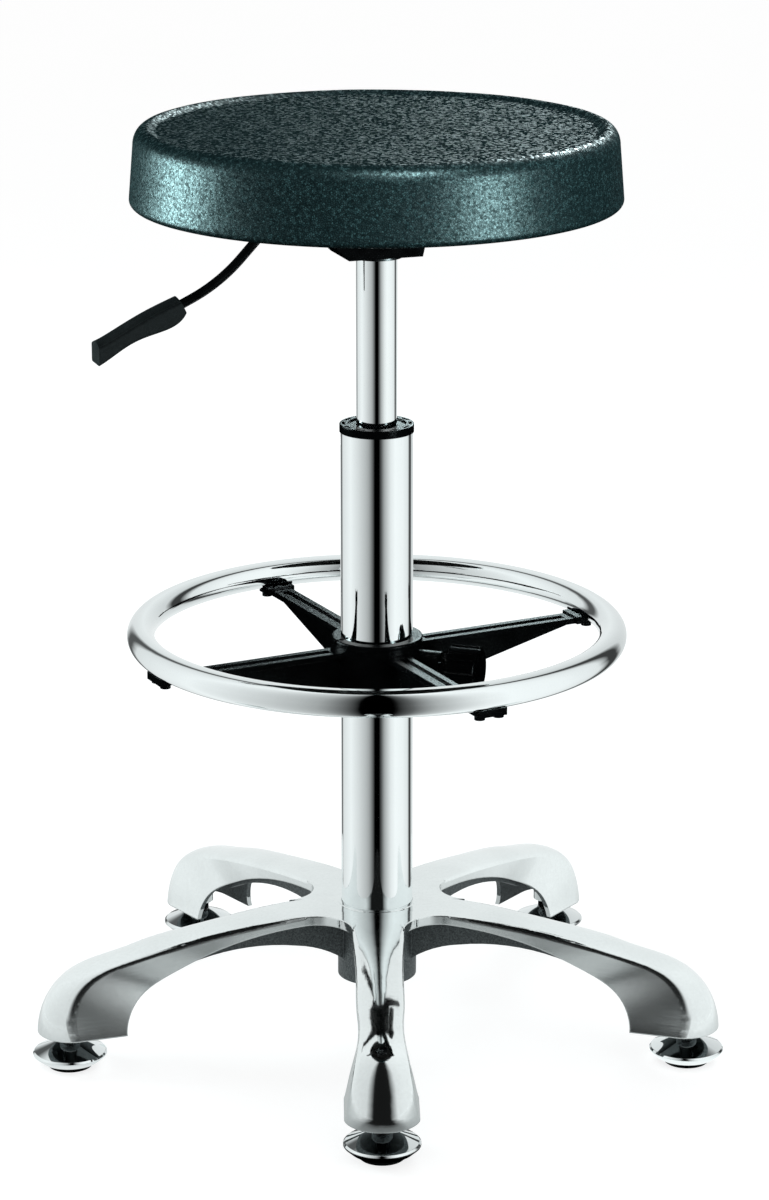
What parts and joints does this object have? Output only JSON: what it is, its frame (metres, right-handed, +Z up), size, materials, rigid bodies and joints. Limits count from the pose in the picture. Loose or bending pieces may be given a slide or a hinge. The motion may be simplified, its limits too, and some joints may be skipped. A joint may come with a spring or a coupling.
{
  "type": "backless work stool",
  "caption": "Round dished work stool with gas lift, release lever, clamped foot ring and polished star base on swivel glides.",
  "frame": {"origin": "on the column's axis at floor level, where the glides stand", "axes": "+Z up along the column; -Y towards the leg that faces the viewer; +X to the viewer's right"},
  "size_m": [0.4794, 0.4584, 0.644],
  "materials": {
    "cast_aluminium": "die-cast, polished on the outside, as cast on the inner ribs",
    "chrome": "bright chrome plate",
    "steel": "turned or zinc plated steel",
    "light_alloy": "turned",
    "black_paint": "gloss black powder coat",
    "black_screw": "black oxide",
    "black_nylon": "moulded, satin",
    "grip_plastic": "moulded, fine spark texture",
    "glide_sole": "moulded, satin",
    "black_rubber": "moulded",
    "seat_foam": "integral-skin polyurethane foam with a pebble grain",
    "seat_board": "black-stained plywood board moulded into the seat"
  },
  "bodies": {
    "base": {"star_base": "cast_aluminium", "column_tube": "chrome", "guide_bush": "black_nylon", "column_end_plate": "steel", "lower_race": "steel"},
    "lift_rod": {"piston_rod": "steel", "piston": "light_alloy", "rod_clip": "steel", "upper_race": "steel", "bearing_cage": "black_nylon", "bearing_balls": "steel", "bump_stop": "black_rubber"},
    "seat": {"gas_cylinder": "chrome", "cylinder_gland": "light_alloy", "valve_body": "light_alloy", "taper_socket": "steel", "lift_housing": "black_paint", "lever_pin": "steel", "seat_plate": "black_paint", "seat_board": "seat_board", "seat_screws": "steel", "board_nuts": "steel", "seat_cushion": "seat_foam"},
    "release_pin": {"release_pin": "steel"},
    "lever": {"lever_rod": "black_paint", "lever_grip": "grip_plastic"},
    "clamp_sleeve": {"clamp_sleeve": "black_nylon"},
    "footring": {"footring_tube": "chrome", "footring_hub": "black_nylon", "ring_screws": "black_screw", "clamp_nut": "steel"},
    "clamp_pad": {"clamp_pad": "black_nylon"},
    "clamp_knob": {"clamp_stud": "steel", "clamp_knob": "black_nylon"},
    "glide_1": {"glide_cap_1": "chrome", "glide_sole_1": "glide_sole", "glide_stem_1": "steel"},
    "glide_2": {"glide_cap_2": "chrome", "glide_sole_2": "glide_sole", "glide_stem_2": "steel"},
    "glide_3": {"glide_cap_3": "chrome", "glide_sole_3": "glide_sole", "glide_stem_3": "steel"},
    "glide_4": {"glide_cap_4": "chrome", "glide_sole_4": "glide_sole", "glide_stem_4": "steel"},
    "glide_5": {"glide_cap_5": "chrome", "glide_sole_5": "glide_sole", "glide_stem_5": "steel"}
  },
  "joints": [
    {"name": "seat_swivel", "type": "hinge", "parent": "base", "child": "lift_rod", "pos_m": [0, 0, 0.05], "axis": [0, 0, 1], "continuous": true},
    {"name": "seat_height", "type": "slide", "parent": "lift_rod", "child": "seat", "axis": [0, 0, 1], "range_m": [-0.105, 0.155]},
    {"name": "lever_lift", "type": "hinge", "parent": "seat", "child": "lever", "pos_m": [-0.03614, -0.01174, 0.5822], "axis": [-0.309, 0.9511, 0], "range_deg": [0, 5.2], "stiffness_Nm_per_rad": 12, "springref_deg": -2.86},
    {"name": "valve_press", "type": "slide", "parent": "seat", "child": "release_pin", "axis": [0, 0, -1], "range_m": [0, 0.0036]},
    {"name": "footring_height", "type": "slide", "parent": "base", "child": "clamp_sleeve", "axis": [0, 0, 1], "range_m": [-0.135, 0.085]},
    {"name": "footring_turn", "type": "hinge", "parent": "clamp_sleeve", "child": "footring", "pos_m": [0, 0, 0.265], "axis": [0, 0, 1], "continuous": true},
    {"name": "pad_travel", "type": "slide", "parent": "footring", "child": "clamp_pad", "axis": [0.9455, -0.3256, 0], "range_m": [0, 0.0025]},
    {"name": "knob_turn", "type": "hinge", "parent": "clamp_pad", "child": "clamp_knob", "pos_m": [0.04728, -0.01628, 0.27], "axis": [0.9455, -0.3256, 0], "range_deg": [0, 730]},
    {"name": "glide_1_turn", "type": "hinge", "parent": "base", "child": "glide_1", "pos_m": [0, -0.225, 0], "axis": [0, 0, 1], "continuous": true},
    {"name": "glide_2_turn", "type": "hinge", "parent": "base", "child": "glide_2", "pos_m": [0.21399, -0.06953, 0], "axis": [0, 0, 1], "continuous": true},
    {"name": "glide_3_turn", "type": "hinge", "parent": "base", "child": "glide_3", "pos_m": [0.13225, 0.18203, 0], "axis": [0, 0, 1], "continuous": true},
    {"name": "glide_4_turn", "type": "hinge", "parent": "base", "child": "glide_4", "pos_m": [-0.13225, 0.18203, 0], "axis": [0, 0, 1], "continuous": true},
    {"name": "glide_5_turn", "type": "hinge", "parent": "base", "child": "glide_5", "pos_m": [-0.21399, -0.06953, 0], "axis": [0, 0, 1], "continuous": true}
  ],
  "couplings": [
    {"joint": "valve_press", "follows": "lever_lift", "m_per_rad": 0.038},
    {"joint": "knob_turn", "follows": "pad_travel", "rad_per_m": 5026.5}
  ]
}
